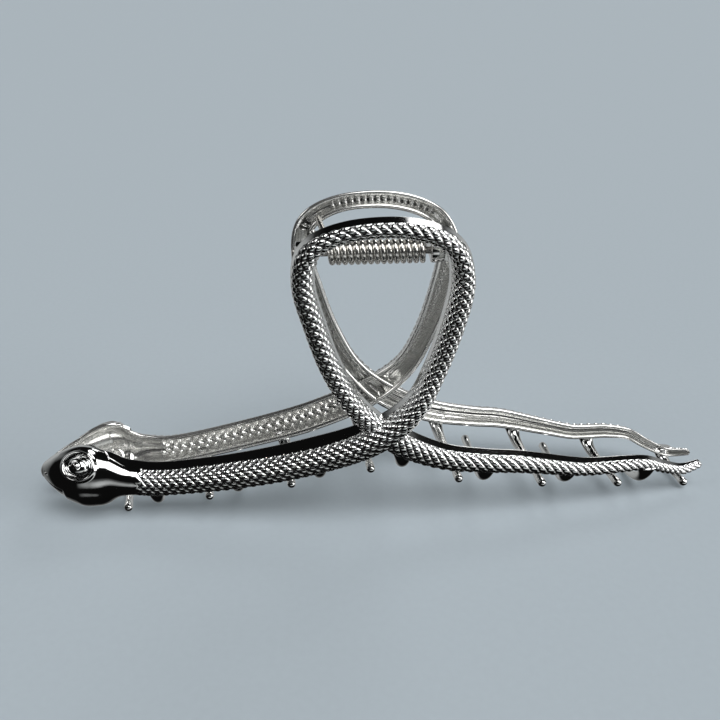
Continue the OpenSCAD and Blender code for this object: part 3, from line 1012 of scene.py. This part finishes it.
def soft_light(tree, direction, full, edge, strength):
    """Grey level of one distant round light, from the angle between the ray and the light."""
    towards = Vector(direction).normalized()
    coords = tree.nodes.new("ShaderNodeTexCoord")
    dot = tree.nodes.new("ShaderNodeVectorMath")
    dot.operation = "DOT_PRODUCT"
    dot.inputs[1].default_value = towards
    tree.links.new(coords.outputs["Generated"], dot.inputs[0])
    far = math.cos(math.radians(edge))
    near = math.cos(math.radians(full))
    return map_range(tree, dot.outputs["Value"], far, near, 0.0, strength)


def make_world():
    """Soft lights over dark surroundings, with the floor's colour seen past its edge."""
    world = bpy.data.worlds.new("studio")
    bpy.context.scene.world = world
    world.use_nodes = True
    tree = world.node_tree
    tree.nodes.clear()
    out = tree.nodes.new("ShaderNodeOutputWorld")
    background = tree.nodes.new("ShaderNodeBackground")
    tree.links.new(background.outputs["Background"], out.inputs["Surface"])
    coords = tree.nodes.new("ShaderNodeTexCoord")
    split = tree.nodes.new("ShaderNodeSeparateXYZ")
    tree.links.new(coords.outputs["Generated"], split.inputs["Vector"])
    height = maths(tree, "ARCSINE", split.outputs["Z"], 0.0)
    place = maths(tree, "ADD", maths(tree, "DIVIDE", height, math.pi), 0.5)
    lit = map_range(tree, split.outputs["X"], *NEAR_SIDE_X, 0.0, 1.0)
    near = mix_colour(tree, lit, (0.004, 0.004, 0.004, 1), elevation_ramp(tree, place, NEAR_SIDE))
    far = elevation_ramp(tree, place, FAR_SIDE)
    behind = map_range(tree, split.outputs["Y"], 0.25, 0.7, 0.0, 1.0)
    surroundings = mix_colour(tree, behind, near, far)
    light = 0.0
    for description in SOFT_LIGHTS:
        light = maths(tree, "ADD", soft_light(tree, *description), light)
    added = tree.nodes.new("ShaderNodeVectorMath")
    added.operation = "ADD"
    tree.links.new(surroundings, added.inputs[0])
    tree.links.new(light, added.inputs[1])
    seen = tree.nodes.new("ShaderNodeLightPath")
    colour = mix_colour(tree, seen.outputs["Is Camera Ray"], added.outputs["Vector"], BACKDROP)
    tree.links.new(colour, background.inputs["Color"])


# Radius of the floor in metres, and its rings, each this share of the next one's radius
FLOOR_RADIUS = 30
FLOOR_RINGS = 10
FLOOR_SHRINK = 0.6
FLOOR_SIDES = 96


def make_floor(material):
    """A wide pale floor. Reflections take the surroundings' own lower half instead of it."""
    turn = np.linspace(0, 2 * math.pi, FLOOR_SIDES, endpoint=False)
    points = [[0, 0, 0]]
    faces = []
    for k in range(FLOOR_RINGS):
        radius = FLOOR_RADIUS * FLOOR_SHRINK ** (FLOOR_RINGS - 1 - k)
        points += [[radius * math.cos(a), radius * math.sin(a), 0] for a in turn]
        for j in range(FLOOR_SIDES):
            a = 1 + k * FLOOR_SIDES + j
            b = 1 + k * FLOOR_SIDES + (j + 1) % FLOOR_SIDES
            faces.append([0, a, b] if k == 0 else [a - FLOOR_SIDES, a, b, b - FLOOR_SIDES])
    mesh = bpy.data.meshes.new("floor")
    mesh.from_pydata(points, [], faces)
    mesh.materials.append(material)
    floor = add_object("floor", mesh)
    floor.visible_glossy = False


# ---- The scene ----

# Distance between the rings of a jaw's mesh and the points on its outer arch, on the body and on the head
STEP = 0.14
ARCH_POINTS = 72
HEAD_STEP = 0.1
HEAD_ARCH_POINTS = 160


def finish_piece(obj, body, material):
    obj.data.materials.clear()
    obj.data.materials.append(material)
    if body:
        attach(obj, body)


def main():
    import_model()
    make_camera()
    make_world()
    make_floor(floor_material())
    plating = plating_material()
    pin_steel = steel_material("pin_steel_look", (0.66, 0.65, 0.63, 1), 0.16, 0.3)
    spring_steel = steel_material("spring_steel_look", (0.86, 0.85, 0.82, 1), 0.08, 0.16)
    for side, body in ((1, "front_jaw"), (-1, "back_jaw")):
        for part in STRETCHES:
            step, arch_points = (HEAD_STEP, HEAD_ARCH_POINTS) if part == "head" else (STEP, ARCH_POINTS)
            finish_piece(jaw_piece(side, part, step, arch_points), body, plating)
    front_teeth, back_teeth = make_teeth()
    finish_piece(front_teeth, "front_jaw", plating)
    finish_piece(back_teeth, "back_jaw", plating)
    front_lugs, back_lugs, feet = make_lugs()
    finish_piece(front_lugs, "front_jaw", plating)
    finish_piece(back_lugs, "back_jaw", plating)
    finish_piece(feet, "back_jaw", plating)
    finish_piece(make_pin(), "back_jaw", pin_steel)
    finish_piece(make_spring(), None, spring_steel)
    bpy.context.scene.view_settings.view_transform = "Standard"


main()
